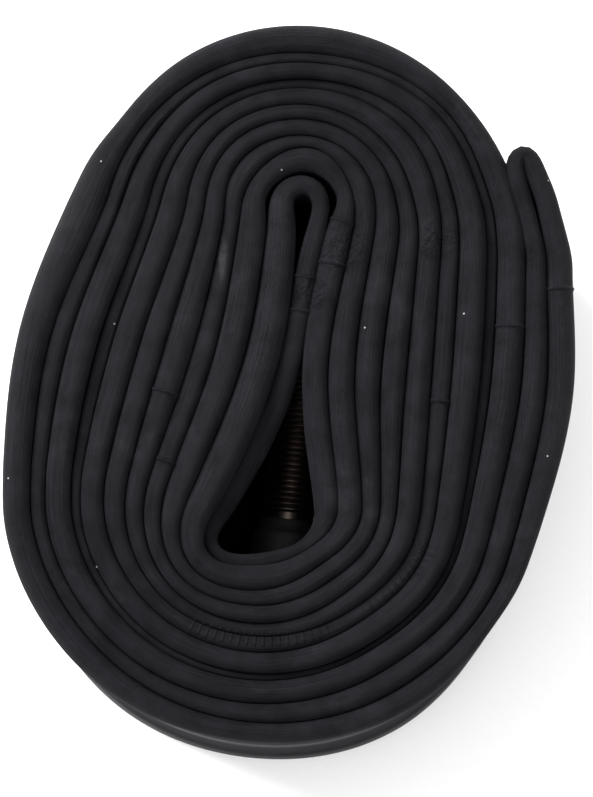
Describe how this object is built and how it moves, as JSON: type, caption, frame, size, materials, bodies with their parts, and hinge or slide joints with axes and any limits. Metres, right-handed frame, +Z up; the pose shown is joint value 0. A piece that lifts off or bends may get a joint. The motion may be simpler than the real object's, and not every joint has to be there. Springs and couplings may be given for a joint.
{
  "type": "bicycle inner tube",
  "caption": "Flattened black butyl bicycle inner tube, doubled and wound into an oval roll, with a threaded car-type valve stem, core and cap in the middle.",
  "frame": {"origin": "middle of the roll's underside, on the surface that it lies on", "axes": "+Z up along the roll's axis, +Y along the roll's long way, from the valve's foot towards its cap, +X to the right seen from above with +Y away"},
  "size_m": [0.0764, 0.0976, 0.046],
  "materials": {
    "butyl": "satin",
    "boot_rubber": "matte",
    "plated_brass": "satin",
    "core_brass": "satin",
    "seal_rubber": "matte",
    "spring_steel": "bright",
    "cap_plastic": "satin"
  },
  "bodies": {
    "tube_and_stem": {"tube_body": "butyl", "valve_base": "boot_rubber", "valve_stem": "plated_brass", "core_plug": "core_brass", "core_barrel": "core_brass", "core_barrel_seal": "seal_rubber", "core_spring": "spring_steel"},
    "pin": {"core_pin": "core_brass", "core_spring_collar": "core_brass", "core_cup": "core_brass", "core_cup_seal": "seal_rubber"},
    "cap_seal": {"cap_seal": "seal_rubber"},
    "cap": {"dust_cap": "cap_plastic"}
  },
  "joints": [
    {"name": "pin_press", "type": "slide", "parent": "tube_and_stem", "child": "pin", "axis": [-0.1219, -0.9925, 0], "range_m": [0, 0.0015], "stiffness_N_per_m": 600, "springref_m": -0.003, "deforming": ["core_spring"]},
    {"name": "cap_travel", "type": "slide", "parent": "tube_and_stem", "child": "cap_seal", "axis": [0.1219, 0.9925, 0], "range_m": [0, 0.00396]},
    {"name": "cap_turn", "type": "hinge", "parent": "cap_seal", "child": "cap", "pos_m": [0.00325, 0.01296, 0.023], "axis": [0.1219, 0.9925, 0], "range_deg": [0, 1800]}
  ],
  "couplings": [
    {"joint": "cap_turn", "follows": "cap_travel", "rad_per_m": 7915.8}
  ]
}
